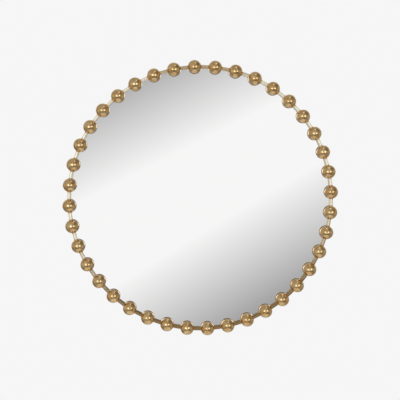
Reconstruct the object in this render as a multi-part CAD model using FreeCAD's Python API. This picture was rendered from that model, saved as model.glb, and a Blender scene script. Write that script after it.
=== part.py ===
"""Round wall mirror with a beaded brass rim.

Forty hollow balls are threaded on a round bar that is bent into a ring. The bar is brazed to the
front lip of a shallow steel hoop, and each ball is notched to sit over the hoop's front corner.
The hoop holds the mirror glass and its backing board. Six strips, welded to the hoop beside the
board's edge, are bent over the board's back and screwed down. Two strap hangers with swinging
D-rings carry the mirror, and four bumpers meet the wall.

Frame: millimetres, +Z up, the mirror faces -Y. The origin is on the wall plane, behind the
centre of the glass. A depth in this file is a distance out from the wall, towards -Y. A clock
angle is in degrees, clockwise from the top, seen from the front.
"""

import FreeCAD, Part

import math
import os

from FreeCAD import Vector

# Bead ring
BEAD_COUNT = 40
BEAD_DIAMETER = 40.0
BEAD_WALL = 1.4
RING_DIAMETER = 760.0           # across the centres of opposite beads
FIRST_BEAD_ANGLE = 6.0
ROD_DIAMETER = 10.0
ROD_HOLE_CLEARANCE = 0.1        # between the bar and the hole that each ball has for it
BEAD_SEAT_CLEARANCE = 0.1       # between a ball's notch and the hoop's outer face

# Hoop, an angle section with its lip at the front
LIP_WIDTH = 8.0
LIP_THICKNESS = 1.5
HOOP_WALL = 2.0
HOOP_EDGE_RADIUS = 0.6
HOOP_STAND_OFF = 2.0            # the bumpers hold the hoop's rear edge this far from the wall
REAR_RECESS = 7.0               # from the hoop's rear edge in to the board

# Glass, foam tape and backing board
GLASS_THICKNESS = 4.0
GLASS_EDGE_CLEARANCE = 1.5
GLASS_ARRIS = 0.5
TAPE_THICKNESS = 1.0
TAPE_WIDTH = 24.0
TAPE_COUNT = 4
TAPE_SPACING = 150.0
TAPE_END_MARGIN = 60.0          # from a strip's end to the edge of the glass
BOARD_THICKNESS = 9.0
BOARD_EDGE_CLEARANCE = 0.6      # between the board's edge and the retaining strips beside it
BOARD_ARRIS = 0.6

# Retaining tabs
TAB_COUNT = 6
TAB_FIRST_ANGLE = 30.0
TAB_REACH = 24.0                # of the bent leg, in from the hoop's inner face
TAB_WELD_LENGTH = 7.0           # of the leg beside the board's edge
TAB_WIDTH = 18.0
TAB_THICKNESS = 1.0
TAB_BEND_RADIUS = 0.6
TAB_CORNER_RADIUS = 6.0
TAB_HOLE_INSET = 9.0            # from the tab's free end to its screw hole

# Pan-head screws
SCREW_DIAMETER = 3.5
SCREW_HOLE_CLEARANCE = 0.35     # in a tab or a strap
SCREW_PILOT_CLEARANCE = 0.05    # in the board
SCREW_END_MARGIN = 0.8          # board left whole in front of a screw's tip
SCREW_POINT_LENGTH = 1.5
SCREW_HEAD_DIAMETER = 7.0
SCREW_HEAD_HEIGHT = 2.2
SCREW_HEAD_RIM = 0.8

# Strap hangers and their D-rings
HANGER_SPACING = 400.0
HANGER_HEIGHT = 190.0           # of the D-rings' axis
STRAP_WIDTH = 20.0
STRAP_THICKNESS = 1.2
STRAP_CORNER_RADIUS = 4.0
STRAP_SCREW_COUNT = 2
STRAP_SCREW_SPACING = 13.0
STRAP_SCREW_INSET = 7.0         # from the strap's end to its lowest screw
EYE_WIDTH = 14.0
EYE_NECK_LENGTH = 5.0
EYE_CLEARANCE = 0.3             # between the D-ring's wire and the eye
EYE_WRAP_ANGLE = 290.0
D_RING_WIRE = 3.0
D_RING_BEND_RADIUS = 3.0
D_RING_SIDE = 6.0               # of each straight leg and its bend
D_RING_END_PLAY = 1.5           # from the eye's end to the wire's bend
D_RING_SCREW_CLEARANCE = 3.5    # from the hanging D-ring down to the nearest screw head

# Wall bumpers
BUMPER_BASE_DIAMETER = 16.0
BUMPER_FACE_DIAMETER = 12.0
BUMPER_EDGE_RADIUS = 1.2
BUMPER_CIRCLE_DIAMETER = 660.0
BUMPER_ANGLES = (40.0, 140.0, 220.0, 320.0)

# Depths from the wall, from the back to the front
BOARD_REAR_DEPTH = HOOP_STAND_OFF + REAR_RECESS
BOARD_FRONT_DEPTH = BOARD_REAR_DEPTH + BOARD_THICKNESS
GLASS_REAR_DEPTH = BOARD_FRONT_DEPTH + TAPE_THICKNESS
GLASS_FRONT_DEPTH = GLASS_REAR_DEPTH + GLASS_THICKNESS
LIP_FRONT_DEPTH = GLASS_FRONT_DEPTH + LIP_THICKNESS
ROD_DEPTH = LIP_FRONT_DEPTH + ROD_DIAMETER / 2

# Radii about the mirror's axis
RING_RADIUS = RING_DIAMETER / 2
LIP_INNER_RADIUS = RING_RADIUS - LIP_WIDTH / 2
HOOP_OUTER_RADIUS = RING_RADIUS + LIP_WIDTH / 2
HOOP_INNER_RADIUS = HOOP_OUTER_RADIUS - HOOP_WALL
GLASS_RADIUS = HOOP_INNER_RADIUS - GLASS_EDGE_CLEARANCE
BOARD_RADIUS = HOOP_INNER_RADIUS - TAB_THICKNESS - BOARD_EDGE_CLEARANCE
TAB_INNER_RADIUS = HOOP_INNER_RADIUS - TAB_REACH
TAB_SCREW_RADIUS = TAB_INNER_RADIUS + TAB_HOLE_INSET

# A strap's eye touches the board, and the straight side of its D-ring turns in it
EYE_INNER_RADIUS = D_RING_WIRE / 2 + EYE_CLEARANCE
EYE_OUTER_RADIUS = EYE_INNER_RADIUS + STRAP_THICKNESS
EYE_DEPTH = BOARD_REAR_DEPTH - EYE_OUTER_RADIUS
D_RING_HALF_WIDTH = EYE_WIDTH / 2 + D_RING_END_PLAY + D_RING_BEND_RADIUS
D_RING_REACH = D_RING_SIDE + D_RING_HALF_WIDTH + D_RING_WIRE / 2
TOP_STRAP_SCREW = HANGER_HEIGHT - D_RING_REACH - D_RING_SCREW_CLEARANCE - SCREW_HEAD_DIAMETER / 2
LOW_STRAP_SCREW = TOP_STRAP_SCREW - (STRAP_SCREW_COUNT - 1) * STRAP_SCREW_SPACING
STRAP_BOTTOM = LOW_STRAP_SCREW - STRAP_SCREW_INSET

SCREW_LENGTH_IN_BOARD = BOARD_THICKNESS - SCREW_END_MARGIN

CENTRE = Vector(0, 0, 0)
FORWARD = Vector(0, -1, 0)
BACKWARD = Vector(0, 1, 0)
RIGHT = Vector(1, 0, 0)
LEFT = Vector(-1, 0, 0)
TOLERANCE = 0.001


def at_depth(depth, x=0.0, z=0.0):
    """Point at a depth in front of the wall."""
    return Vector(x, -depth, z)


def on_circle(radius, clock_angle):
    """(x, z) of a point on a circle about the mirror's axis."""
    angle = math.radians(clock_angle)
    return radius * math.sin(angle), radius * math.cos(angle)


def even_angles(first, count):
    """Clock angles spread evenly over the whole circle."""
    return [first + index * 360.0 / count for index in range(count)]


def turned(shape, clock_angle):
    """Copy of a shape, turned about the mirror's axis."""
    copy = shape.copy()
    copy.rotate(CENTRE, BACKWARD, clock_angle)
    return copy


def face_between(corners):
    """Flat face with straight sides."""
    return Part.Face(Part.makePolygon(corners + corners[:1]))


def revolved(profile):
    """Solid of revolution about the mirror's axis, from (radius, depth) corners."""
    face = face_between([at_depth(depth, z=radius) for radius, depth in profile])
    return face.revolve(CENTRE, BACKWARD, 360)


def disc(radius, rear_depth, front_depth, arris):
    """Round plate with both edges chamfered."""
    return revolved([
        (0, rear_depth),
        (radius - arris, rear_depth),
        (radius, rear_depth + arris),
        (radius, front_depth - arris),
        (radius - arris, front_depth),
        (0, front_depth),
    ])


def arc(centre, radius, start, end):
    """Arc about a (radius, depth) centre at the top; 0 degrees is outwards, 90 towards the wall."""
    points = []
    for degrees in (start, (start + end) / 2, end):
        angle = math.radians(degrees)
        depth = centre[1] - radius * math.sin(angle)
        points.append(at_depth(depth, z=centre[0] + radius * math.cos(angle)))
    return Part.Arc(*points).toShape()


def rod_torus(radius):
    """Ring of round section along the centres of the balls."""
    return Part.makeTorus(RING_RADIUS, radius, at_depth(ROD_DEPTH), FORWARD)


def make_rod():
    """Round bar bent into a closed ring, which lies on the hoop's lip."""
    return rod_torus(ROD_DIAMETER / 2)


def make_hoop():
    """Rolled angle: a wall round the glass, and a lip that the glass rests behind."""
    hoop = revolved([
        (HOOP_OUTER_RADIUS, HOOP_STAND_OFF),
        (HOOP_OUTER_RADIUS, LIP_FRONT_DEPTH),
        (LIP_INNER_RADIUS, LIP_FRONT_DEPTH),
        (LIP_INNER_RADIUS, GLASS_FRONT_DEPTH),
        (HOOP_INNER_RADIUS, GLASS_FRONT_DEPTH),
        (HOOP_INNER_RADIUS, HOOP_STAND_OFF),
    ])
    rear_edges = [
        edge for edge in hoop.Edges
        if max(abs(vertex.Y + HOOP_STAND_OFF) for vertex in edge.Vertexes) < TOLERANCE
    ]
    return hoop.makeFillet(min(HOOP_EDGE_RADIUS, HOOP_WALL * 0.4), rear_edges)


def hoop_space(margin):
    """All that lies within the hoop's outside and behind its lip, grown by a margin."""
    radius = HOOP_OUTER_RADIUS + BEAD_SEAT_CLEARANCE + margin
    front = LIP_FRONT_DEPTH + margin
    return Part.makeCylinder(radius, front + BEAD_DIAMETER, at_depth(-BEAD_DIAMETER), FORWARD)


def make_bead():
    """Hollow ball at the top of the ring, closed at its notch and drilled for the bar."""
    centre = at_depth(ROD_DEPTH, z=RING_RADIUS)
    outside = Part.makeSphere(BEAD_DIAMETER / 2, centre).cut(hoop_space(0))
    inside = Part.makeSphere(BEAD_DIAMETER / 2 - BEAD_WALL, centre).cut(hoop_space(BEAD_WALL))
    return outside.cut(inside).cut(rod_torus(ROD_DIAMETER / 2 + ROD_HOLE_CLEARANCE))


def make_glass():
    """Mirror plate, silvered on its rear face."""
    return disc(GLASS_RADIUS, GLASS_REAR_DEPTH, GLASS_FRONT_DEPTH, GLASS_ARRIS)


def make_tape():
    """Upright strips of foam tape that hold the glass to the board."""
    first = -(TAPE_COUNT - 1) / 2 * TAPE_SPACING
    strips = []
    for index in range(TAPE_COUNT):
        x = first + index * TAPE_SPACING
        reach = math.sqrt(GLASS_RADIUS ** 2 - x ** 2) - TAPE_END_MARGIN
        corner = at_depth(GLASS_REAR_DEPTH, x - TAPE_WIDTH / 2, -reach)
        strips.append(Part.makeBox(TAPE_WIDTH, TAPE_THICKNESS, 2 * reach, corner))
    return Part.makeCompound(strips)


def make_tab():
    """Strip at the top, against the hoop's inner face and bent over the board's back."""
    outer_bend = TAB_BEND_RADIUS + TAB_THICKNESS
    bend = (HOOP_INNER_RADIUS - outer_bend, BOARD_REAR_DEPTH + TAB_BEND_RADIUS)
    weld_end = bend[1] + TAB_WELD_LENGTH
    rear = BOARD_REAR_DEPTH - TAB_THICKNESS
    outer_arc = arc(bend, outer_bend, 0, 90)
    inner_arc = arc(bend, TAB_BEND_RADIUS, 90, 0)
    weld_leg_end = [
        inner_arc.Vertexes[-1].Point,
        at_depth(weld_end, z=bend[0] + TAB_BEND_RADIUS),
        at_depth(weld_end, z=HOOP_INNER_RADIUS),
        outer_arc.Vertexes[0].Point,
    ]
    bent_leg_end = [
        outer_arc.Vertexes[-1].Point,
        at_depth(rear, z=TAB_INNER_RADIUS),
        at_depth(BOARD_REAR_DEPTH, z=TAB_INNER_RADIUS),
        inner_arc.Vertexes[0].Point,
    ]
    edges = [outer_arc, inner_arc]
    edges += Part.makePolygon(weld_leg_end).Edges + Part.makePolygon(bent_leg_end).Edges
    section = Part.Face(Part.Wire(Part.__sortEdges__(edges)))
    sweep = math.degrees(TAB_WIDTH / HOOP_INNER_RADIUS)
    tab = turned(section.revolve(CENTRE, BACKWARD, sweep), -sweep / 2)
    free_corners = [
        edge for edge in tab.Edges
        if abs(edge.Length - TAB_THICKNESS) < TOLERANCE
        and abs(math.hypot(edge.CenterOfMass.x, edge.CenterOfMass.z) - TAB_INNER_RADIUS) < TOLERANCE
    ]
    tab = tab.makeFillet(min(TAB_CORNER_RADIUS, TAB_WIDTH * 0.4), free_corners)
    return tab.cut(screw_hole(TAB_THICKNESS, 0, TAB_SCREW_RADIUS))


def screw_hole(plate_thickness, x, z):
    """Clearance hole for a screw through a plate that lies on the board's back."""
    rear = at_depth(BOARD_REAR_DEPTH - plate_thickness, x, z)
    return Part.makeCylinder(SCREW_DIAMETER / 2 + SCREW_HOLE_CLEARANCE, plate_thickness, rear, FORWARD)


def make_screw(plate_thickness, x, z):
    """Pan-head screw, driven from behind through a plate into the board."""
    seat = BOARD_REAR_DEPTH - plate_thickness
    crown = seat - SCREW_HEAD_HEIGHT
    rim = seat - SCREW_HEAD_RIM
    tip = BOARD_REAR_DEPTH + SCREW_LENGTH_IN_BOARD
    head_radius = SCREW_HEAD_DIAMETER / 2
    shank_radius = SCREW_DIAMETER / 2
    dome_height = rim - crown
    dome_radius = (head_radius ** 2 + dome_height ** 2) / (2 * dome_height)
    dome = arc((0, crown + dome_radius), dome_radius,
               90, math.degrees(math.acos(head_radius / dome_radius)))
    sides = Part.makePolygon([
        dome.Vertexes[-1].Point,
        at_depth(seat, z=head_radius),
        at_depth(seat, z=shank_radius),
        at_depth(tip - SCREW_POINT_LENGTH, z=shank_radius),
        at_depth(tip),
        dome.Vertexes[0].Point,
    ])
    screw = Part.Face(Part.Wire([dome] + sides.Edges)).revolve(CENTRE, BACKWARD, 360)
    screw.translate(Vector(x, 0, z))
    return screw


def tab_screw_places():
    """(x, z) of each tab's screw."""
    return [on_circle(TAB_SCREW_RADIUS, angle) for angle in even_angles(TAB_FIRST_ANGLE, TAB_COUNT)]


def strap_screw_places(side):
    """(x, z) of the screws of one strap, the lowest first; side is -1 for left and 1 for right."""
    x = side * HANGER_SPACING / 2
    return [(x, LOW_STRAP_SCREW + index * STRAP_SCREW_SPACING) for index in range(STRAP_SCREW_COUNT)]


def make_board():
    """Backing board, with a blind pilot hole for every screw."""
    board = disc(BOARD_RADIUS, BOARD_REAR_DEPTH, BOARD_FRONT_DEPTH, BOARD_ARRIS)
    for x, z in tab_screw_places() + strap_screw_places(-1) + strap_screw_places(1):
        pilot = Part.makeCylinder(
            SCREW_DIAMETER / 2 + SCREW_PILOT_CLEARANCE,
            SCREW_LENGTH_IN_BOARD + SCREW_PILOT_CLEARANCE,
            at_depth(BOARD_REAR_DEPTH, x, z),
            FORWARD,
        )
        board = board.cut(pilot)
    return board


def make_strap(side):
    """Strap of a hanger: a screwed plate whose narrow top end is rolled into an eye."""
    x = side * HANGER_SPACING / 2
    wide = STRAP_WIDTH / 2
    narrow = EYE_WIDTH / 2
    neck = HANGER_HEIGHT - EYE_NECK_LENGTH
    outline = [
        (-wide, STRAP_BOTTOM),
        (wide, STRAP_BOTTOM),
        (wide, neck - (wide - narrow)),
        (narrow, neck),
        (narrow, HANGER_HEIGHT),
        (-narrow, HANGER_HEIGHT),
        (-narrow, neck),
        (-wide, neck - (wide - narrow)),
    ]
    face = face_between([at_depth(BOARD_REAR_DEPTH, x + across, z) for across, z in outline])
    plate = face.extrude(BACKWARD * STRAP_THICKNESS)
    lower_corners = [
        edge for edge in plate.Edges
        if abs(edge.Length - STRAP_THICKNESS) < TOLERANCE
        and abs(edge.CenterOfMass.z - STRAP_BOTTOM) < TOLERANCE
    ]
    plate = plate.makeFillet(min(STRAP_CORNER_RADIUS, STRAP_WIDTH * 0.4), lower_corners)
    eye_start = face_between([
        at_depth(EYE_DEPTH + radius, x + across, HANGER_HEIGHT)
        for across, radius in (
            (-narrow, EYE_INNER_RADIUS),
            (narrow, EYE_INNER_RADIUS),
            (narrow, EYE_OUTER_RADIUS),
            (-narrow, EYE_OUTER_RADIUS),
        )
    ])
    eye = eye_start.revolve(at_depth(EYE_DEPTH, x, HANGER_HEIGHT), LEFT, EYE_WRAP_ANGLE)
    strap = plate.fuse(eye).removeSplitter()
    for hole_x, hole_z in strap_screw_places(side):
        strap = strap.cut(screw_hole(STRAP_THICKNESS, hole_x, hole_z))
    return strap


def make_d_ring(side):
    """Closed D-ring of round wire, hanging from the strap's eye."""
    half = D_RING_HALF_WIDTH
    bend = D_RING_BEND_RADIUS
    bend_middle = bend * (1 - math.sqrt(0.5))

    def wire_point(across, down):
        return at_depth(EYE_DEPTH, side * HANGER_SPACING / 2 + across, HANGER_HEIGHT - down)

    straight_side = Part.makeLine(wire_point(-half + bend, 0), wire_point(half - bend, 0))
    right_bend = Part.Arc(
        wire_point(half - bend, 0),
        wire_point(half - bend_middle, bend_middle),
        wire_point(half, bend),
    ).toShape()
    right_leg = Part.makeLine(wire_point(half, bend), wire_point(half, D_RING_SIDE))
    bow = Part.Arc(
        wire_point(half, D_RING_SIDE),
        wire_point(0, D_RING_SIDE + half),
        wire_point(-half, D_RING_SIDE),
    ).toShape()
    left_leg = Part.makeLine(wire_point(-half, D_RING_SIDE), wire_point(-half, bend))
    left_bend = Part.Arc(
        wire_point(-half, bend),
        wire_point(-half + bend_middle, bend_middle),
        wire_point(-half + bend, 0),
    ).toShape()
    path = Part.Wire([straight_side, right_bend, right_leg, bow, left_leg, left_bend])
    section = Part.Wire(Part.makeCircle(D_RING_WIRE / 2, wire_point(-half + bend, 0), RIGHT))
    return path.makePipeShell([section], True, False)


def make_bumper(x, z):
    """Tapered rubber bumper from the board out to the wall."""
    bumper = Part.makeCone(BUMPER_FACE_DIAMETER / 2, BUMPER_BASE_DIAMETER / 2,
                           BOARD_REAR_DEPTH, CENTRE, FORWARD)
    wall_edge = [
        edge for edge in bumper.Edges
        if max(abs(vertex.Y) for vertex in edge.Vertexes) < TOLERANCE
    ]
    bumper = bumper.makeFillet(BUMPER_EDGE_RADIUS, wall_edge)
    bumper.translate(Vector(x, 0, z))
    return bumper


def save(name, shape):
    """Writes one sub-part and prints its size."""
    shape.exportStep(f"parts/{name}.step")
    box = shape.optimalBoundingBox(False)
    print(f"{name}: {box.XLength:.1f} x {box.YLength:.1f} x {box.ZLength:.1f} mm, "
          f"{len(shape.Solids)} solids, {shape.Volume:.0f} mm3, valid {shape.isValid()}")


def main():
    os.makedirs("parts", exist_ok=True)
    save("rim_hoop", make_hoop())
    save("bead_rod", make_rod())
    bead = make_bead()
    for number, clock_angle in enumerate(even_angles(FIRST_BEAD_ANGLE, BEAD_COUNT), start=1):
        save(f"bead_{number:02d}", turned(bead, clock_angle))
    save("mirror_glass", make_glass())
    save("foam_tape", make_tape())
    save("backing_board", make_board())
    tab = make_tab()
    for number, clock_angle in enumerate(even_angles(TAB_FIRST_ANGLE, TAB_COUNT), start=1):
        save(f"retaining_tab_{number}", turned(tab, clock_angle))
    save("tab_screws", Part.makeCompound(
        [make_screw(TAB_THICKNESS, x, z) for x, z in tab_screw_places()]))
    for name, side in (("left", -1), ("right", 1)):
        save(f"{name}_hanger_strap", make_strap(side))
        save(f"{name}_hanger_screws", Part.makeCompound(
            [make_screw(STRAP_THICKNESS, x, z) for x, z in strap_screw_places(side)]))
        save(f"{name}_d_ring", make_d_ring(side))
    bumper_places = [on_circle(BUMPER_CIRCLE_DIAMETER / 2, angle) for angle in BUMPER_ANGLES]
    save("wall_bumpers", Part.makeCompound([make_bumper(x, z) for x, z in bumper_places]))


main()
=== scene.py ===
"""Round wall mirror with a beaded brass rim: its finishes, small hardware, light and camera.

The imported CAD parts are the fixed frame, in metres: +Z up, the mirror faces -Y, and the origin
is on the wall plane behind the centre of the glass. This script gives each of them its finish,
puts in cross-recess screws and the braze round the bar, and sets up a plain soft studio.
"""

import logging
import math
from collections.abc import Callable
from dataclasses import dataclass
from enum import Enum
from itertools import cycle

import bpy
from mathutils import Matrix, Quaternion, Vector


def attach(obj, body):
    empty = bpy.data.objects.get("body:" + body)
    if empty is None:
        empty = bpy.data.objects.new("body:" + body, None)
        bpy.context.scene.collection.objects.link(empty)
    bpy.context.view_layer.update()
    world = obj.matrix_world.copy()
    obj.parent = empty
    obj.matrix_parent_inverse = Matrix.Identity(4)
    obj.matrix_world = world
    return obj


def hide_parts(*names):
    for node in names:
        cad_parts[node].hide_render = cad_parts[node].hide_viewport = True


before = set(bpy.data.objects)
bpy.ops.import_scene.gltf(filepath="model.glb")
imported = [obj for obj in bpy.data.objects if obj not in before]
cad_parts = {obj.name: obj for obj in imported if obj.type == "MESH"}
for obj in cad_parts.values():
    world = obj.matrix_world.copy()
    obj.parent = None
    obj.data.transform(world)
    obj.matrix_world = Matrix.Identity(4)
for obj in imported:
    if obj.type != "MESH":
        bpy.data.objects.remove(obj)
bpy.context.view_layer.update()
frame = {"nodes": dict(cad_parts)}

LOG = logging.getLogger("beaded_mirror")

Colour = tuple[float, float, float]
Point = tuple[float, float, float]
Socket = bpy.types.NodeSocket

TAB_COUNT = 6
NOISE_SPAN = (0.3, 0.7)  # where most of a noise's values lie
FACING = 0.9  # a face looks along an axis if its normal goes further along it than this


class Body(str, Enum):
    """The bodies that pieces ride on."""

    MIRROR = "mirror"


class Slot(str, Enum):
    """Names of two material slots, which nothing in this script uses."""

    SCREW = "screw_steel"
    ROD = "rod_brass"


def linear(red: int, green: int, blue: int) -> Colour:
    """Colour written as screen values from 0 to 255, as linear light.

    Args:
        red: Red as a screen shows it.
        green: Green as a screen shows it.
        blue: Blue as a screen shows it.

    Returns:
        The three linear values.
    """
    shares = (value / 255 for value in (red, green, blue))
    return tuple(c / 12.92 if c <= 0.04045 else ((c + 0.055) / 1.055) ** 2.4 for c in shares)


def clock_place(radius: float, clock_angle: float) -> tuple[float, float]:
    """X and z of a point on a circle about the mirror's axis, clockwise from the top in degrees."""
    angle = math.radians(clock_angle)
    return radius * math.sin(angle), radius * math.cos(angle)


# ---------------------------------------------------------------- finishes


class Recipe:
    """Node tree of one finish or of the sky, with short ways to add and join nodes."""

    def __init__(self, tree: bpy.types.NodeTree) -> None:
        """Empties the tree.

        Args:
            tree: The tree to fill.
        """
        self.tree = tree
        self.tree.nodes.clear()

    def add(self, kind: str, **settings: object) -> bpy.types.Node:
        """Adds a node.

        Args:
            kind: Its type, without the ShaderNode in front.
            **settings: Values of the node's own properties.

        Returns:
            The new node.
        """
        node = self.tree.nodes.new("ShaderNode" + kind)
        for name, value in settings.items():
            setattr(node, name, value)
        return node

    def feed(self, socket: Socket, value: object) -> None:
        """Joins another node's output to an input, or sets the input to a plain value.

        Args:
            socket: The input.
            value: An output socket, a number, or a colour or vector.
        """
        if isinstance(value, Socket):
            self.tree.links.new(value, socket)
        elif socket.type == "RGBA":
            socket.default_value = (*value, 1.0)
        else:
            socket.default_value = value

    def math(self, operation: str, *values: object) -> Socket:
        """Works out a sum, product or the like with a Math node.

        Args:
            operation: Blender's name of the operation.
            *values: Sockets or numbers to work on.

        Returns:
            The result.
        """
        node = self.add("Math", operation=operation)
        for socket, value in zip(node.inputs, values):
            self.feed(socket, value)
        return node.outputs[0]

    def dot(self, vector: Socket, axis: Point) -> Socket:
        """Measures how far a vector goes along a fixed direction.

        Args:
            vector: The vector's socket.
            axis: The direction.

        Returns:
            The dot product.
        """
        node = self.add("VectorMath", operation="DOT_PRODUCT")
        self.feed(node.inputs[0], vector)
        node.inputs[1].default_value = axis
        return node.outputs["Value"]

    def between(self, value: Socket, low: float, high: float,
                to_low: float = 0.0, to_high: float = 1.0, soft: bool = True) -> Socket:
        """Maps a range of a value to another, clamped.

        Args:
            value: The value to map.
            low: Its value that gives to_low.
            high: Its value that gives to_high.
            to_low: Result at low.
            to_high: Result at high.
            soft: Eases both ends.

        Returns:
            The mapped value.
        """
        node = self.add("MapRange", interpolation_type="SMOOTHSTEP" if soft else "LINEAR")
        for socket, number in zip(node.inputs, (value, low, high, to_low, to_high)):
            self.feed(socket, number)
        return node.outputs[0]

    def mix(self, share: object, first: object, second: object) -> Socket:
        """Mixes two colours.

        Args:
            share: Share of the second colour.
            first: Colour at a share of 0.
            second: Colour at a share of 1.

        Returns:
            The mixed colour.
        """
        node = self.add("Mix", data_type="RGBA")
        factor, colour_a, colour_b = node.inputs[0], node.inputs[6], node.inputs[7]
        self.feed(factor, share)
        self.feed(colour_a, first)
        self.feed(colour_b, second)
        return node.outputs[2]

    def blend(self, share: object, first: object, second: object) -> Socket:
        """Mixes two numbers.

        Args:
            share: Share of the second number.
            first: Number at a share of 0.
            second: Number at a share of 1.

        Returns:
            The mixed number.
        """
        node = self.add("Mix", data_type="FLOAT")
        factor, number_a, number_b = node.inputs[0], node.inputs[2], node.inputs[3]
        self.feed(factor, share)
        self.feed(number_a, first)
        self.feed(number_b, second)
        return node.outputs[0]

    def grain(self, place: Socket, size: float, detail: float = 3.0, rough: float = 0.5,
              stretch: Point = (1.0, 1.0, 1.0)) -> Socket:
        """Noise from 0 to 1 whose features are about a given size.

        Args:
            place: Object coordinates.
            size: Size of a feature, in metres.
            detail: Octaves of finer noise.
            rough: Share of the finer octaves.
            stretch: How many times finer the pattern is along each axis.

        Returns:
            The noise.
        """
        if stretch != (1.0, 1.0, 1.0):
            mapping = self.add("Mapping")
            self.feed(mapping.inputs["Vector"], place)
            mapping.inputs["Scale"].default_value = stretch
            place = mapping.outputs[0]
        node = self.add("TexNoise")
        self.feed(node.inputs["Vector"], place)
        self.feed(node.inputs["Scale"], 1.0 / size)
        self.feed(node.inputs["Detail"], detail)
        self.feed(node.inputs["Roughness"], rough)
        return node.outputs[0]

    def cells(self, place: Socket, size: float) -> bpy.types.Node:
        """Adds a pattern of irregular cells.

        Args:
            place: Object coordinates.
            size: Size of a cell, in metres.

        Returns:
            The node, with each cell's colour and the distance from its middle.
        """
        node = self.add("TexVoronoi")
        self.feed(node.inputs["Vector"], place)
        self.feed(node.inputs["Scale"], 1.0 / size)
        return node

    def relief(self, height: Socket, depth: float, below: Socket | None = None) -> Socket:
        """Normal that follows a height.

        Args:
            height: Height from 0 to 1.
            depth: Height of 1, in metres.
            below: Normal of a coarser relief that this one lies on.

        Returns:
            The normal.
        """
        node = self.add("Bump")
        self.feed(node.inputs["Distance"], depth)
        self.feed(node.inputs["Height"], height)
        if below is not None:
            self.feed(node.inputs["Normal"], below)
        return node.outputs[0]


class Surface(Recipe):
    """Recipe of a finish, around one main shader."""

    def __init__(self, name: str) -> None:
        """Starts a finish.

        Args:
            name: Name of its Blender material.
        """
        self.material = bpy.data.materials.new(name)
        self.material.use_nodes = True
        super().__init__(self.material.node_tree)
        self.shader = self.add("BsdfPrincipled")
        output = self.add("OutputMaterial")
        self.tree.links.new(self.shader.outputs[0], output.inputs["Surface"])
        self.place = self.add("TexCoord").outputs["Object"]

    def set(self, **values: object) -> None:
        """Feeds the main shader's sockets; an underscore stands for a space."""
        for name, value in values.items():
            self.feed(self.shader.inputs[name.replace("_", " ").title()], value)

    def depth(self) -> Socket:
        """Finds how far the place on the object is in front of the wall, as its y.

        Returns:
            The place's y.
        """
        node = self.add("SeparateXYZ")
        self.feed(node.inputs[0], self.place)
        return node.outputs[1]

    def radius(self) -> Socket:
        """Finds how far the place on the object is from the mirror's axis.

        Returns:
            The distance.
        """
        flat = self.add("VectorMath", operation="MULTIPLY")
        self.feed(flat.inputs[0], self.place)
        flat.inputs[1].default_value = (1.0, 0.0, 1.0)
        node = self.add("VectorMath", operation="LENGTH")
        self.feed(node.inputs[0], flat.outputs[0])
        return node.outputs["Value"]


@dataclass(frozen=True)
class TarnishAndPaintedShade:
    """Duller, browner metal that has lost its lacquer, and sets in along one direction; it serves as
    tarnish, and as painted shade where it darkens one side of a part.

    Start and end are places along the axis, in metres. Sheen tints what the metal reflects at a
    glancing angle. Ragged is how unevenly it sets in, as a share of the way from start to end.
    """

    colour: Colour
    rough: float
    axis: Point
    start: float
    end: float
    sheen: Colour = (1.0, 1.0, 1.0)
    ragged: float = 0.4


@dataclass(frozen=True)
class Brass:
    """Lacquered brass, polished or satin, with faint mottling under the lacquer."""

    name: str
    bright: Colour
    deep: Colour
    smooth: float
    rough: float
    tarnish_and_painted_shade: tuple[TarnishAndPaintedShade, ...] = ()
    metal: float = 1.0
    lacquer: float = 0.25
    mottle: float = 0.011
    wave_depth: float = 0.00022
    wave_size: float = 0.016
    wear_size: float = 0.006
    scratch_size: float = 0.0012
    scratch_depth: float = 0.000004
    scratch_stretch: Point = (1.0, 1.0, 0.06)

    def material(self) -> bpy.types.Material:
        """Builds the finish.

        Returns:
            The Blender material.
        """
        s = Surface(self.name)
        blotch = s.between(s.grain(s.place, self.mottle, detail=4.0, rough=0.6), 0.36, 0.64)
        cloud = s.grain(s.place, self.mottle * 0.35, detail=2.0)
        colour = s.mix(blotch, self.deep, self.bright)
        colour = s.mix(s.between(cloud, 0.5, 0.75, 0.0, 0.3), colour, self.deep)
        wear = s.grain(s.place, self.wear_size, detail=5.0, rough=0.65)
        rough = s.between(wear, *NOISE_SPAN, self.smooth, self.rough)
        metal, lacquer, sheen = self.metal, self.lacquer, (1.0, 1.0, 1.0)
        # Each entry darkens the metal along its axis; the bead's entry is tarnish, the bar's two entries
        # are painted shade.
        for dulled in self.tarnish_and_painted_shade:
            uneven = s.math("MULTIPLY", s.math("SUBTRACT", wear, 0.5),
                            (dulled.end - dulled.start) * dulled.ragged)
            reach = s.math("ADD", s.dot(s.place, dulled.axis), uneven)
            share = s.between(reach, dulled.start, dulled.end)
            colour = s.mix(share, colour, dulled.colour)
            rough = s.blend(share, rough, dulled.rough)
            metal = s.blend(share, metal, 1.0)
            lacquer = s.blend(share, lacquer, 0.0)
            sheen = s.mix(share, sheen, dulled.sheen)
        hairline = s.grain(s.place, self.scratch_size, detail=2.0, stretch=self.scratch_stretch)
        wave = s.relief(s.grain(s.place, self.wave_size, detail=1.0), self.wave_depth)
        s.set(
            base_color=colour,
            metallic=metal,
            roughness=rough,
            specular_tint=sheen,
            coat_weight=lacquer,
            coat_roughness=0.08,
            normal=s.relief(hairline, self.scratch_depth, wave),
        )
        return s.material


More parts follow.
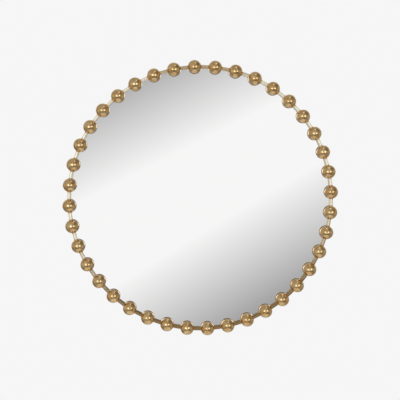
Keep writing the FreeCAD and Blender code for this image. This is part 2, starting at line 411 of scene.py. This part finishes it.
@dataclass(frozen=True)
class MirrorPlate:
    """Silvered glass: a clear cold reflection, with the ground edge's green showing."""

    name: str = "silvered_glass"
    silver: Colour = (0.946, 0.944, 0.943)
    edge: Colour = linear(108, 150, 132)
    backing_paint: Colour = linear(96, 104, 110)
    glass_radius: float = 0.3805
    edge_band: float = 0.0004
    edge_rough: float = 0.42
    rear: float = -0.01905
    paint_step: float = 0.00004
    dust_size: float = 0.02
    dust_rough: float = 0.012

    def material(self) -> bpy.types.Material:
        """Builds the finish; the back is painted, and the edge is ground.

        Returns:
            The Blender material.
        """
        s = Surface(self.name)
        painted = s.between(s.depth(), self.rear, self.rear + self.paint_step, soft=False)
        at_edge = s.math("GREATER_THAN", s.radius(), self.glass_radius - self.edge_band)
        ground = s.math("MAXIMUM", painted, at_edge)
        dust = s.grain(s.place, self.dust_size, detail=4.0, rough=0.6)
        dulled = s.between(dust, 0.45, 0.85, 0.0, self.dust_rough)
        s.set(
            base_color=s.mix(ground, self.silver, s.mix(painted, self.edge, self.backing_paint)),
            metallic=s.between(ground, 0.0, 1.0, 1.0, 0.0, soft=False),
            roughness=s.blend(ground, dulled, self.edge_rough),
            coat_weight=0.0,
        )
        return s.material


@dataclass(frozen=True)
class Fibreboard:
    """Pressed fibreboard: brown flecks of wood in a paler base, a little rough."""

    name: str = "pressed_fibreboard"
    pale: Colour = linear(188, 158, 118)
    dark: Colour = linear(146, 114, 80)
    fleck: Colour = linear(206, 182, 146)
    cloud_size: float = 0.05
    fibre_size: float = 0.0015
    cross_fibre_size: float = 0.0013
    speck_size: float = 0.0012
    fibre_depth: float = 0.00025

    def material(self) -> bpy.types.Material:
        """Builds the finish.

        Returns:
            The Blender material.
        """
        s = Surface(self.name)
        cloud = s.grain(s.place, self.cloud_size)
        fibre = s.grain(s.place, self.fibre_size, rough=0.6, stretch=(1.0, 1.0, 0.4))
        cross_fibre = s.grain(s.place, self.cross_fibre_size, rough=0.6, stretch=(0.35, 1.0, 1.0))
        speck = s.cells(s.place, self.speck_size).outputs["Distance"]
        base = s.mix(s.between(cloud, 0.35, 0.65, 0.2, 0.38), self.pale, self.dark)
        base = s.mix(s.between(fibre, 0.50, 0.68, 0.0, 0.5), base, self.dark)
        base = s.mix(s.between(cross_fibre, 0.54, 0.7, 0.0, 0.4), base, self.fleck)
        base = s.mix(s.between(speck, 0.0, 0.22, 0.35, 0.0), base, self.dark)
        height = s.math("ADD", s.math("MULTIPLY", fibre, 0.6), s.math("MULTIPLY", cross_fibre, 0.4))
        s.set(
            base_color=base,
            roughness=s.between(fibre, *NOISE_SPAN, 0.62, 0.85),
            normal=s.relief(height, self.fibre_depth),
        )
        return s.material


@dataclass(frozen=True)
class Plated:
    """Zinc-plated steel: soft grey with a cool or warm tint, spangled and a little scuffed."""

    name: str
    light: Colour
    dark: Colour
    rough: float = 0.34
    spangle: float = 0.0016
    scuff_size: float = 0.0016
    scuff_depth: float = 0.00002
    haze_size: float = 0.012

    def material(self) -> bpy.types.Material:
        """Builds the finish.

        Returns:
            The Blender material.
        """
        s = Surface(self.name)
        flake = s.cells(s.place, self.spangle)
        tone = s.add("SeparateColor")
        s.feed(tone.inputs[0], flake.outputs["Color"])
        scuff = s.grain(s.place, self.scuff_size, detail=4.0, rough=0.65, stretch=(1.0, 1.0, 0.12))
        haze = s.grain(s.place, self.haze_size)
        colour = s.mix(s.between(tone.outputs[0], 0.0, 1.0, 0.0, 0.32), self.light, self.dark)
        colour = s.mix(s.between(scuff, 0.60, 0.72, 0.0, 0.5), colour, self.dark)
        s.set(
            base_color=colour,
            metallic=1.0,
            roughness=s.between(haze, *NOISE_SPAN, self.rough - 0.08, self.rough + 0.1),
            normal=s.relief(scuff, self.scuff_depth),
        )
        return s.material


@dataclass(frozen=True)
class Foam:
    """White foam tape with open cells, whose pores are darkened as painted shade."""

    name: str = "foam_tape_cells"
    skin: Colour = linear(226, 224, 216)
    pore_painted_shade: Colour = linear(176, 172, 162)
    pore_size: float = 0.0009
    pore_depth: float = 0.0002

    def material(self) -> bpy.types.Material:
        """Builds the finish.

        Returns:
            The Blender material.
        """
        s = Surface(self.name)
        wall = s.between(s.cells(s.place, self.pore_size).outputs["Distance"], 0.1, 0.5)
        s.set(
            # painted shade: the middle of each cell, the pore, is darker than the skin
            base_color=s.mix(wall, self.pore_painted_shade, self.skin),
            roughness=s.between(wall, 0.0, 1.0, 0.95, 0.8),
            normal=s.relief(wall, self.pore_depth),
        )
        return s.material


@dataclass(frozen=True)
class Rubber:
    """Dark rubber, matt where it is moulded and paler where the wall has rubbed it."""

    name: str = "bumper_rubber_matt"
    base: Colour = linear(46, 44, 43)
    rubbed: Colour = linear(84, 81, 78)
    wall_face: float = -0.0012
    rub_size: float = 0.003
    grain_size: float = 0.0006
    grain_depth: float = 0.00004

    def material(self) -> bpy.types.Material:
        """Builds the finish.

        Returns:
            The Blender material.
        """
        s = Surface(self.name)
        grain = s.grain(s.place, self.grain_size, detail=2.0)
        near_wall = s.between(s.depth(), self.wall_face, 0.0)
        worn = s.math("MULTIPLY", near_wall, s.grain(s.place, self.rub_size))
        s.set(
            base_color=s.mix(worn, self.base, self.rubbed),
            roughness=s.between(grain, *NOISE_SPAN, 0.55, 0.75),
            normal=s.relief(grain, self.grain_depth),
        )
        return s.material


@dataclass(frozen=True)
class Palette:
    """Every finish of the mirror."""

    bead: Brass = Brass(
        "polished_bead_brass", bright=linear(241, 212, 161), deep=linear(217, 175, 114),
        smooth=0.10, rough=0.19, lacquer=0.8, wave_depth=0.00034,
        tarnish_and_painted_shade=(
            TarnishAndPaintedShade(linear(188, 152, 102), rough=0.5, axis=(0.0, 1.0, 0.0), start=-0.0310, end=-0.0275,
                    sheen=(0.26, 0.20, 0.13)),
        ))
    rod: Brass = Brass(
        "pale_bar_brass", bright=linear(253, 248, 230), deep=linear(249, 238, 212),
        smooth=0.20, rough=0.30, metal=0.5, wave_depth=0.00005,
        tarnish_and_painted_shade=(
            # painted shade: the bar gets darker and browner towards the bottom of the ring
            TarnishAndPaintedShade(linear(167, 140, 102), rough=0.38, axis=(0.16, 0.0, -0.987), start=0.0, end=0.32),
            # painted shade: the bar gets darker and browner along the very top of the ring
            TarnishAndPaintedShade(linear(225, 203, 165), rough=0.30, axis=(0.0, 0.0, 1.0), start=0.345, end=0.372),
        ))
    braze: Brass = Brass(
        "braze_fillet", bright=linear(226, 186, 122), deep=linear(196, 150, 90),
        smooth=0.28, rough=0.42, mottle=0.002, wave_depth=0.0)
    hoop: Brass = Brass(
        "satin_hoop_brass", bright=linear(216, 182, 126), deep=linear(200, 163, 108),
        smooth=0.34, rough=0.46, wave_depth=0.0)
    plate: MirrorPlate = MirrorPlate()
    board: Fibreboard = Fibreboard()
    foam: Foam = Foam()
    tab: Plated = Plated("zinc_tab_spangled", light=linear(206, 208, 206), dark=linear(160, 164, 166))
    strap: Plated = Plated(
        "plated_strap", light=linear(198, 196, 190), dark=linear(150, 148, 144), rough=0.3, spangle=0.0013)
    ring: Plated = Plated(
        "plated_ring_wire", light=linear(212, 210, 204), dark=linear(168, 166, 160), rough=0.22,
        spangle=0.0009)
    screw: Plated = Plated(
        "plated_screw", light=linear(214, 206, 184), dark=linear(164, 152, 122), rough=0.3, spangle=0.0008)
    rubber: Rubber = Rubber()


# ---------------------------------------------------------------- modelling


def clear_selection() -> None:
    """Deselects every object and leaves none active."""
    if bpy.context.object is not None and bpy.context.object.mode != "OBJECT":
        bpy.ops.object.mode_set(mode="OBJECT")
    bpy.ops.object.select_all(action="DESELECT")
    bpy.context.view_layer.objects.active = None


def select_only(pieces: list[bpy.types.Object]) -> None:
    """Selects pieces, with everything else deselected, and makes the first one active.

    Args:
        pieces: The pieces to work on.
    """
    clear_selection()
    for piece in pieces:
        piece.select_set(True)
    bpy.context.view_layer.objects.active = pieces[0]


def put_place_in_mesh(piece: bpy.types.Object) -> None:
    """Leaves a piece's object at the origin, with its place in its mesh."""
    piece.data.transform(piece.matrix_basis)
    piece.matrix_basis = Matrix.Identity(4)


def dress(piece: bpy.types.Object, material: bpy.types.Material) -> None:
    """Gives a piece one finish all over."""
    piece.data.materials.clear()
    piece.data.materials.append(material)


def pick_faces(piece: bpy.types.Object, wanted: Callable[[Vector, Vector], bool]) -> None:
    """Selects faces of the piece in edit mode.

    Args:
        piece: The piece that is being edited.
        wanted: Test on a face's centre and normal.
    """
    bpy.ops.mesh.select_all(action="DESELECT")
    bpy.ops.object.mode_set(mode="OBJECT")
    for face in piece.data.polygons:
        face.select = wanted(face.center, face.normal)
    bpy.ops.object.mode_set(mode="EDIT")
    bpy.ops.mesh.select_mode(type="FACE")


def copies(master: bpy.types.Object, moves: list[Matrix]) -> list[bpy.types.Object]:
    """Copies a finished piece to each of its places, each copy with its own mesh.

    Args:
        master: The finished piece, which is removed.
        moves: Where each copy goes, from the master's place.

    Returns:
        The copies.
    """
    made = []
    for number, move in enumerate(moves):
        mesh = master.data.copy()
        mesh.transform(move)
        piece = bpy.data.objects.new(f"{master.name}_{number}", mesh)
        bpy.context.scene.collection.objects.link(piece)
        made.append(piece)
    bpy.data.objects.remove(master)
    return made


def joined(name: str, singles: list[bpy.types.Object], finish: bpy.types.Material) -> bpy.types.Object:
    """Joins copies to one piece.

    Args:
        name: Name of the piece.
        singles: The copies.
        finish: Material of the piece.

    Returns:
        The piece.
    """
    select_only(singles)
    bpy.ops.object.join()
    piece = bpy.context.object
    piece.name = name
    dress(piece, finish)
    return piece


@dataclass
class Rim:
    """Bead ring, bar and hoop, with the braze where the bar goes into each ball.

    The braze's profile is a list of places along the bar, counted from where the ball's skin
    meets the bar's, each with the radius there.
    """

    bead_count: int = 40
    first_bead_angle: float = 6.0
    ring_radius: float = 0.380
    bead_radius: float = 0.020
    bar_radius: float = 0.005
    bar_y: float = -0.0295
    braze_sides: int = 20
    braze_profile: tuple[tuple[float, float], ...] = (
        (-0.00120, 0.00630), (-0.00035, 0.00615), (0.00010, 0.00560), (0.00060, 0.00522),
        (0.00130, 0.00496),
    )
    braze_smooth_angle: float = 50.0

    def dress_parts(self, nodes: dict[str, bpy.types.Object], palette: Palette) -> None:
        """Gives the CAD parts of the rim their finishes.

        Args:
            nodes: The CAD parts by name.
            palette: The finishes.
        """
        bead_brass = palette.bead.material()
        for number in range(1, self.bead_count + 1):
            dress(nodes[f"bead_{number:02d}"], bead_brass)
        dress(nodes["bead_rod"], palette.rod.material())
        dress(nodes["rim_hoop"], palette.hoop.material())

    def build_braze(self, finish: bpy.types.Material) -> bpy.types.Object:
        """Models the braze at one side of a ball, and copies it to both sides of every ball.

        Args:
            finish: Material of the braze.

        Returns:
            The piece with all the braze.
        """
        meets = math.sqrt(self.bead_radius ** 2 - self.bar_radius ** 2)
        swing = 2.0 * math.asin(meets / (2.0 * self.ring_radius))
        seat = Matrix.Translation((0.0, self.bar_y, self.ring_radius))
        half_turn = Matrix.Rotation(math.pi, 4, "Z")
        moves = []
        for number in range(self.bead_count):
            ball = math.radians(self.first_bead_angle + number * 360.0 / self.bead_count)
            moves.append(Matrix.Rotation(ball + swing, 4, "Y") @ seat)
            moves.append(Matrix.Rotation(ball - swing, 4, "Y") @ seat @ half_turn)
        piece = joined("braze_fillets", copies(self.model_braze(), moves), finish)
        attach(piece, Body.MIRROR.value)
        return piece

    def model_braze(self) -> bpy.types.Object:
        """Shapes one fillet as a plug along X: wide inside the ball, and down to the bar's skin.

        Returns:
            The plug as an object at the origin.
        """
        (start, widest), (end, radius), *rest = self.braze_profile
        clear_selection()
        bpy.ops.mesh.primitive_cylinder_add(
            vertices=self.braze_sides, radius=widest, depth=end - start, end_fill_type="NGON",
            location=((start + end) / 2.0, 0.0, 0.0), rotation=(0.0, math.radians(90.0), 0.0))
        plug = bpy.context.object
        put_place_in_mesh(plug)
        bpy.ops.object.mode_set(mode="EDIT")
        pick_faces(plug, lambda centre, normal: normal.x > FACING)
        self.narrow(radius / widest)
        for new_end, new_radius in rest:
            bpy.ops.mesh.extrude_region_move(
                TRANSFORM_OT_translate={"value": (new_end - end, 0.0, 0.0)})
            self.narrow(new_radius / radius)
            end, radius = new_end, new_radius
        bpy.ops.object.mode_set(mode="OBJECT")
        bpy.ops.object.shade_smooth_by_angle(angle=math.radians(self.braze_smooth_angle))
        return plug

    @staticmethod
    def narrow(ratio: float) -> None:
        """Scales the selected faces about the bar's line, which is X here."""
        bpy.ops.transform.resize(value=(1.0, ratio, ratio), center_override=(0.0, 0.0, 0.0))


@dataclass
class GlassPack:
    """Mirror plate, foam tape and backing board."""

    def dress_parts(self, nodes: dict[str, bpy.types.Object], palette: Palette) -> None:
        """Gives the glass, the tape and the board their finishes.

        Args:
            nodes: The CAD parts by name.
            palette: The finishes.
        """
        dress(nodes["mirror_glass"], palette.plate.material())
        dress(nodes["foam_tape"], palette.foam.material())
        dress(nodes["backing_board"], palette.board.material())


@dataclass
class Hardware:
    """Retaining tabs, hangers, D-rings and bumpers."""

    tab_count: int = TAB_COUNT

    def dress_parts(self, nodes: dict[str, bpy.types.Object], palette: Palette) -> None:
        """Gives the CAD hardware its finishes.

        Args:
            nodes: The CAD parts by name.
            palette: The finishes.
        """
        tab_zinc = palette.tab.material()
        for number in range(1, self.tab_count + 1):
            dress(nodes[f"retaining_tab_{number}"], tab_zinc)
        strap_steel = palette.strap.material()
        ring_wire = palette.ring.material()
        for side in ("left", "right"):
            dress(nodes[f"{side}_hanger_strap"], strap_steel)
            dress(nodes[f"{side}_d_ring"], ring_wire)
        dress(nodes["wall_bumpers"], palette.rubber.material())


@dataclass
class ScrewSet:
    """Pan-head screws with a cross recess, driven from behind.

    Turns are how far round each screw was left, in degrees, and are taken again from the first
    if there are more screws than turns.
    """

    name: str
    node: str
    seat_y: float
    places: list[tuple[float, float]]
    shank_radius: float = 0.00175
    head_radius: float = 0.0035
    head_height: float = 0.0022
    head_rim: float = 0.0008
    tip_y: float = -0.0172
    point_length: float = 0.0015
    point_share: float = 0.12
    sides: int = 32
    dome_rings: tuple[float, ...] = (0.92, 0.80, 0.66, 0.52)
    recess_width: float = 0.0011
    recess_arm: float = 0.0012
    recess_depth: float = 0.0019
    recess_clear: float = 0.0009
    recess_taper: float = 0.55
    smooth_angle: float = 28.0
    turns: tuple[float, ...] = (20.0, 63.0, 8.0, 41.0, 75.0, 30.0)

    def build(self, finish: bpy.types.Material) -> bpy.types.Object:
        """Models one screw, copies it to its places and joins them to one piece.

        Args:
            finish: Material of the screws.

        Returns:
            The piece that stands for the CAD screws.
        """
        moves = [
            Matrix.Translation((x, 0.0, z)) @ Matrix.Rotation(math.radians(turn), 4, "Y")
            for (x, z), turn in zip(self.places, cycle(self.turns))
        ]
        piece = joined(self.name, copies(self.model(), moves), finish)
        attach(piece, Body.MIRROR.value)
        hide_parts(self.node)
        return piece

    def model(self) -> bpy.types.Object:
        """Shapes one screw on the mirror's axis, with its head towards the wall.

        Returns:
            The screw as an object at the origin.
        """
        length = self.seat_y - self.tip_y
        clear_selection()
        bpy.ops.mesh.primitive_cylinder_add(
            vertices=self.sides, radius=self.shank_radius, depth=length, end_fill_type="NGON",
            location=(0.0, self.seat_y - length / 2, 0.0), rotation=(math.radians(90.0), 0.0, 0.0))
        screw = bpy.context.object
        put_place_in_mesh(screw)
        self.shape_point(screw)
        self.shape_head(screw)
        self.cut_recess(screw)
        select_only([screw])
        bpy.ops.object.shade_smooth_by_angle(angle=math.radians(self.smooth_angle))
        return screw

    @staticmethod
    def pull(distance: float) -> None:
        """Extrudes the selected faces along the screw; positive goes towards the wall."""
        bpy.ops.mesh.extrude_region_move(TRANSFORM_OT_translate={"value": (0.0, distance, 0.0)})

    @staticmethod
    def widen(ratio: float) -> None:
        """Scales the selected faces about the screw's axis; a ratio under 1 narrows them."""
        bpy.ops.transform.resize(value=(ratio, 1.0, ratio), center_override=(0.0, 0.0, 0.0))

    def shape_point(self, screw: bpy.types.Object) -> None:
        """Tapers the end of the shank to a blunt point.

        Args:
            screw: The screw, which is still a plain shank.
        """
        bpy.ops.object.mode_set(mode="EDIT")
        pick_faces(screw, lambda centre, normal: normal.y < -FACING)
        bpy.ops.transform.translate(value=(0.0, self.point_length, 0.0))
        self.pull(-self.point_length)
        self.widen(self.point_share)
        bpy.ops.object.mode_set(mode="OBJECT")

    def shape_head(self, screw: bpy.types.Object) -> None:
        """Extrudes the pan head: out to its rim, a short wall, then rings of a dome.

        Args:
            screw: The shank with its point.
        """
        bpy.ops.object.mode_set(mode="EDIT")
        pick_faces(screw, lambda centre, normal: normal.y > FACING)
        self.pull(0.0)
        self.widen(self.head_radius / self.shank_radius)
        self.pull(self.head_rim)
        dome_height = self.head_height - self.head_rim
        sphere = (self.head_radius ** 2 + dome_height ** 2) / (2 * dome_height)
        radius, height = self.head_radius, 0.0
        for share in self.dome_rings:
            new_radius = self.head_radius * share
            new_height = math.sqrt(sphere ** 2 - new_radius ** 2) - (sphere - dome_height)
            self.pull(new_height - height)
            self.widen(new_radius / radius)
            radius, height = new_radius, new_height
        bpy.ops.object.mode_set(mode="OBJECT")

    def cut_recess(self, screw: bpy.types.Object) -> None:
        """Sinks a tapered cross into the crown.

        Args:
            screw: The screw with its head.
        """
        top = self.seat_y + self.head_height
        middle = top + (self.recess_clear - self.recess_depth) / 2
        clear_selection()
        bpy.ops.mesh.primitive_cube_add(size=1.0, location=(0.0, middle, 0.0))
        cutter = bpy.context.object
        cutter.scale = (self.recess_width, self.recess_clear + self.recess_depth, self.recess_width)
        put_place_in_mesh(cutter)
        bpy.ops.object.mode_set(mode="EDIT")
        for x, z in ((-1.0, 0.0), (1.0, 0.0), (0.0, -1.0), (0.0, 1.0)):
            way = Vector((x, 0.0, z))
            across = Vector((z, 0.0, x))
            pick_faces(cutter, lambda centre, normal: normal.dot(way) > FACING
                       and abs(centre.dot(across)) < self.recess_width / 4)
            bpy.ops.mesh.extrude_region_move(
                TRANSFORM_OT_translate={"value": tuple(way * self.recess_arm)})
        pick_faces(cutter, lambda centre, normal: normal.y < -FACING)
        self.widen(self.recess_taper)
        bpy.ops.object.mode_set(mode="OBJECT")
        select_only([screw])
        cut = screw.modifiers.new("cross", "BOOLEAN")
        cut.operation = "DIFFERENCE"
        cut.solver = "EXACT"
        cut.object = cutter
        bpy.ops.object.modifier_apply(modifier=cut.name)
        bpy.data.objects.remove(cutter)


@dataclass
class Fastenings:
    """All the screws: one through each retaining tab, and two through each hanger strap."""

    tab_count: int = TAB_COUNT
    first_tab_angle: float = 30.0
    tab_circle: float = 0.367
    tab_face_y: float = -0.008
    strap_face_y: float = -0.0078
    strap_x: float = 0.2
    strap_screw_heights: tuple[float, float] = (0.151, 0.164)

    def screw_sets(self) -> list[ScrewSet]:
        """Lists the screw sets, each with its seat and its places.

        Returns:
            The sets, ready to build.
        """
        step = 360.0 / self.tab_count
        tab_places = [clock_place(self.tab_circle, self.first_tab_angle + step * index)
                      for index in range(self.tab_count)]
        sets = [ScrewSet("tab_screw_set", "tab_screws", self.tab_face_y, tab_places)]
        for side, x in (("left", -self.strap_x), ("right", self.strap_x)):
            places = [(x, height) for height in self.strap_screw_heights]
            sets.append(ScrewSet(f"{side}_strap_screw_set", f"{side}_hanger_screws",
                                 self.strap_face_y, places))
        return sets

    def build(self, finish: bpy.types.Material) -> list[bpy.types.Object]:
        """Builds every set in one finish."""
        return [screws.build(finish) for screws in self.screw_sets()]


# ---------------------------------------------------------------- studio


def heading(azimuth: float, elevation: float) -> Point:
    """Direction seen from the mirror's front: azimuth 0 is -Y and 90 is +X, in degrees."""
    a, e = math.radians(azimuth), math.radians(elevation)
    return (math.sin(a) * math.cos(e), -math.cos(a) * math.cos(e), math.sin(e))


@dataclass(frozen=True)
class Patch:
    """Soft darker or lighter place in the studio, as metal sees it; its angles are in degrees."""

    azimuth: float
    elevation: float
    reach: float
    fade: float
    level: Colour


@dataclass(frozen=True)
class WindowEdge:
    """Straight fade at one side of the bright band.

    It is tilted from level by some degrees. Start and end are how far the direction looked in
    goes across that tilt, where the fade leaves the band's level and where it reaches its own.
    """

    tilt: float
    start: float
    end: float
    level: float


@dataclass(frozen=True)
class SoftBox:
    """Square soft light that faces the mirror's centre."""

    name: str
    azimuth: float
    elevation: float
    distance: float
    size: float
    level: float


@dataclass
class Studio:
    """Plain soft studio: pale floor, even sky, soft lights and the camera.

    A horizon or a reach is a pair of dot products of the direction looked in with an axis,
    between which one part of the sky fades into the next.
    """

    backdrop: float = 0.9216
    backdrop_reach: tuple[float, float] = (0.55, 0.95)
    even_level: float = 0.92
    upper: Colour = (0.43, 0.42, 0.39)
    lower: Colour = (0.28, 0.265, 0.24)
    horizon: tuple[float, float] = (-0.12, 0.14)
    patches: tuple[Patch, ...] = (
        # azimuth, elevation, reach, fade and level of each
        Patch(-80.0, 5.0, 14.0, 26.0, (0.50, 0.48, 0.44)),
        Patch(-43.0, 4.0, 6.0, 20.0, (0.62, 0.60, 0.55)),
        Patch(-14.0, 28.0, 5.0, 18.0, (0.58, 0.56, 0.51)),
        Patch(4.0, -31.0, 5.0, 12.0, (0.13, 0.11, 0.07)),
        Patch(-60.0, -45.0, 12.0, 24.0, (0.37, 0.35, 0.31)),
        Patch(86.0, -8.0, 8.0, 24.0, (0.44, 0.42, 0.38)),
        Patch(71.0, 41.0, 12.0, 26.0, (0.225, 0.205, 0.175)),
        Patch(93.0, -49.0, 10.0, 24.0, (0.36, 0.325, 0.265)),
        Patch(-128.0, -28.0, 12.0, 22.0, (0.23, 0.19, 0.14)),
    )
    window_level: float = 0.975
    window_reach: tuple[float, float] = (0.90, 0.972)
    window_edges: tuple[WindowEdge, WindowEdge] = (
        WindowEdge(tilt=31.1, start=-0.115, end=-0.2145, level=0.372),
        WindowEdge(tilt=27.1, start=-0.031, end=0.0642, level=0.400),
    )
    soft_boxes: tuple[SoftBox, ...] = (
        SoftBox("left_soft_box", azimuth=-22.4, elevation=4.5, distance=4.5, size=1.65, level=1.75),
        SoftBox("right_soft_box", azimuth=28.0, elevation=6.0, distance=4.5, size=1.50, level=1.68),
        SoftBox("top_soft_box", azimuth=29.6, elevation=68.1, distance=2.0, size=0.50, level=1.05),
    )
    floor_z: float = -1.5
    floor_middle: float = -0.60
    floor_size: tuple[float, float] = (1.45, 1.95)
    floor_fade: tuple[float, float] = (0.45, 0.98)
    floor_sides: int = 96
    floor_colour: Colour = (0.70, 0.685, 0.66)
    camera_place: Point = (-0.13981, -2.79455, 0.19122)
    camera_target: Point = (-0.0031, -0.030, -0.0030)
    camera_roll: float = 0.157
    lens: float = 86.3

    def build(self) -> None:
        """Sets up the sky, the floor, the lights and the camera."""
        self.make_sky()
        self.make_floor()
        for box in self.soft_boxes:
            self.make_soft_box(box)
        self.make_camera()

    def make_sky(self) -> None:
        """Sky: the pale backdrop for the camera, even light, and the studio as metal sees it."""
        world = bpy.data.worlds.new("studio")
        bpy.context.scene.world = world
        world.use_nodes = True
        world.cycles.sampling_method = "NONE"  # so that each ray sees the sky meant for its kind
        r = Recipe(world.node_tree)
        way = r.add("TexCoord").outputs["Generated"]
        pale = (self.backdrop,) * 3
        up = r.dot(way, (0.0, 0.0, 1.0))
        ahead = r.dot(way, (0.0, -1.0, 0.0))
        behind = r.dot(way, (0.0, 1.0, 0.0))
        seen = r.mix(r.between(up, *self.horizon), self.lower, self.upper)
        for patch in self.patches:
            near = r.dot(way, heading(patch.azimuth, patch.elevation))
            outer = math.cos(math.radians(patch.reach + patch.fade))
            inner = math.cos(math.radians(patch.reach))
            seen = r.mix(r.between(near, outer, inner), seen, patch.level)
        seen = r.mix(r.between(ahead, *self.window_reach), seen, self.window(r, way))
        seen = r.mix(r.between(behind, *self.backdrop_reach), seen, pale)
        rays = r.add("LightPath")
        polished = r.math("MAXIMUM", rays.outputs["Is Glossy Ray"], rays.outputs["Is Transmission Ray"])
        light = r.mix(polished, (self.even_level,) * 3, seen)
        light = r.mix(rays.outputs["Is Camera Ray"], light, pale)
        background = r.add("Background")
        r.feed(background.inputs["Color"], light)
        output = r.add("OutputWorld")
        r.feed(output.inputs["Surface"], background.outputs[0])

    def window(self, r: Recipe, way: Socket) -> Socket:
        """Broad bright band in front of the mirror, which fades off to both sides.

        Args:
            r: The sky's recipe.
            way: Direction looked in.

        Returns:
            The band's level.
        """
        fades = []
        for edge in self.window_edges:
            tilt = math.radians(edge.tilt)
            across = r.dot(way, (-math.sin(tilt), 0.0, math.cos(tilt)))
            fades.append(r.between(across, edge.start, edge.end, self.window_level, edge.level, soft=False))
        return r.math("MINIMUM", *fades)

    def make_floor(self) -> None:
        """Pale oval of paper on the floor below the mirror, which fades into the backdrop."""
        clear_selection()
        middle = (0.0, self.floor_middle, self.floor_z)
        size = (*self.floor_size, 1.0)
        bpy.ops.mesh.primitive_circle_add(
            vertices=self.floor_sides, radius=1.0, fill_type="NGON", location=middle)
        floor = bpy.context.object
        floor.name = "paper_floor"
        floor.scale = size
        put_place_in_mesh(floor)
        s = Surface("pale_paper")
        s.set(base_color=self.floor_colour, roughness=0.9)
        oval = s.add("Mapping", vector_type="TEXTURE")
        s.feed(oval.inputs["Vector"], s.place)
        oval.inputs["Location"].default_value = middle
        oval.inputs["Scale"].default_value = size
        out = s.add("VectorMath", operation="LENGTH")
        s.feed(out.inputs[0], oval.outputs[0])
        s.set(alpha=s.between(out.outputs["Value"], *self.floor_fade, 1.0, 0.0))
        dress(floor, s.material)

    def make_soft_box(self, box: SoftBox) -> None:
        """Adds one soft light, which metal sees and the camera doesn't.

        Args:
            box: The light's place, size and level.
        """
        centre = Vector(self.camera_target)
        way = Vector(heading(box.azimuth, box.elevation))
        lamp = bpy.data.lights.new(box.name, "AREA")
        lamp.shape = "SQUARE"
        lamp.size = box.size
        lamp.energy = box.level * math.pi * box.size ** 2
        light = bpy.data.objects.new(box.name, lamp)
        light.location = centre + way * box.distance
        light.rotation_euler = (-way).to_track_quat("-Z", "Y").to_euler()
        light.visible_camera = False
        bpy.context.scene.collection.objects.link(light)

    def make_camera(self) -> None:
        """Adds the camera at the photograph's place and angle."""
        camera = bpy.data.cameras.new("camera")
        camera.sensor_width = 36.0
        camera.lens = self.lens
        camera.clip_start, camera.clip_end = 0.05, 50.0
        seat = bpy.data.objects.new("camera", camera)
        place = Vector(self.camera_place)
        seat.location = place
        aim = (Vector(self.camera_target) - place).to_track_quat("-Z", "Y")
        roll = Quaternion((0.0, 0.0, 1.0), math.radians(self.camera_roll))
        seat.rotation_euler = (aim @ roll).to_euler()
        bpy.context.scene.collection.objects.link(seat)
        bpy.context.scene.camera = seat


def main() -> None:
    """Dresses the mirror, adds its small pieces, and sets up the studio."""
    logging.basicConfig(level=logging.INFO, format="%(message)s")
    nodes = frame["nodes"]
    palette = Palette()
    rim = Rim()
    for assembly in (rim, GlassPack(), Hardware()):
        assembly.dress_parts(nodes, palette)
        LOG.info("dressed %s", type(assembly).__name__)
    braze = rim.build_braze(palette.braze.material())
    screws = Fastenings().build(palette.screw.material())
    for piece in (braze, *screws):
        LOG.info("built %s with %d faces", piece.name, len(piece.data.polygons))
    Studio().build()
    bpy.context.scene.view_settings.view_transform = "Standard"


if __name__ == "__main__":
    main()
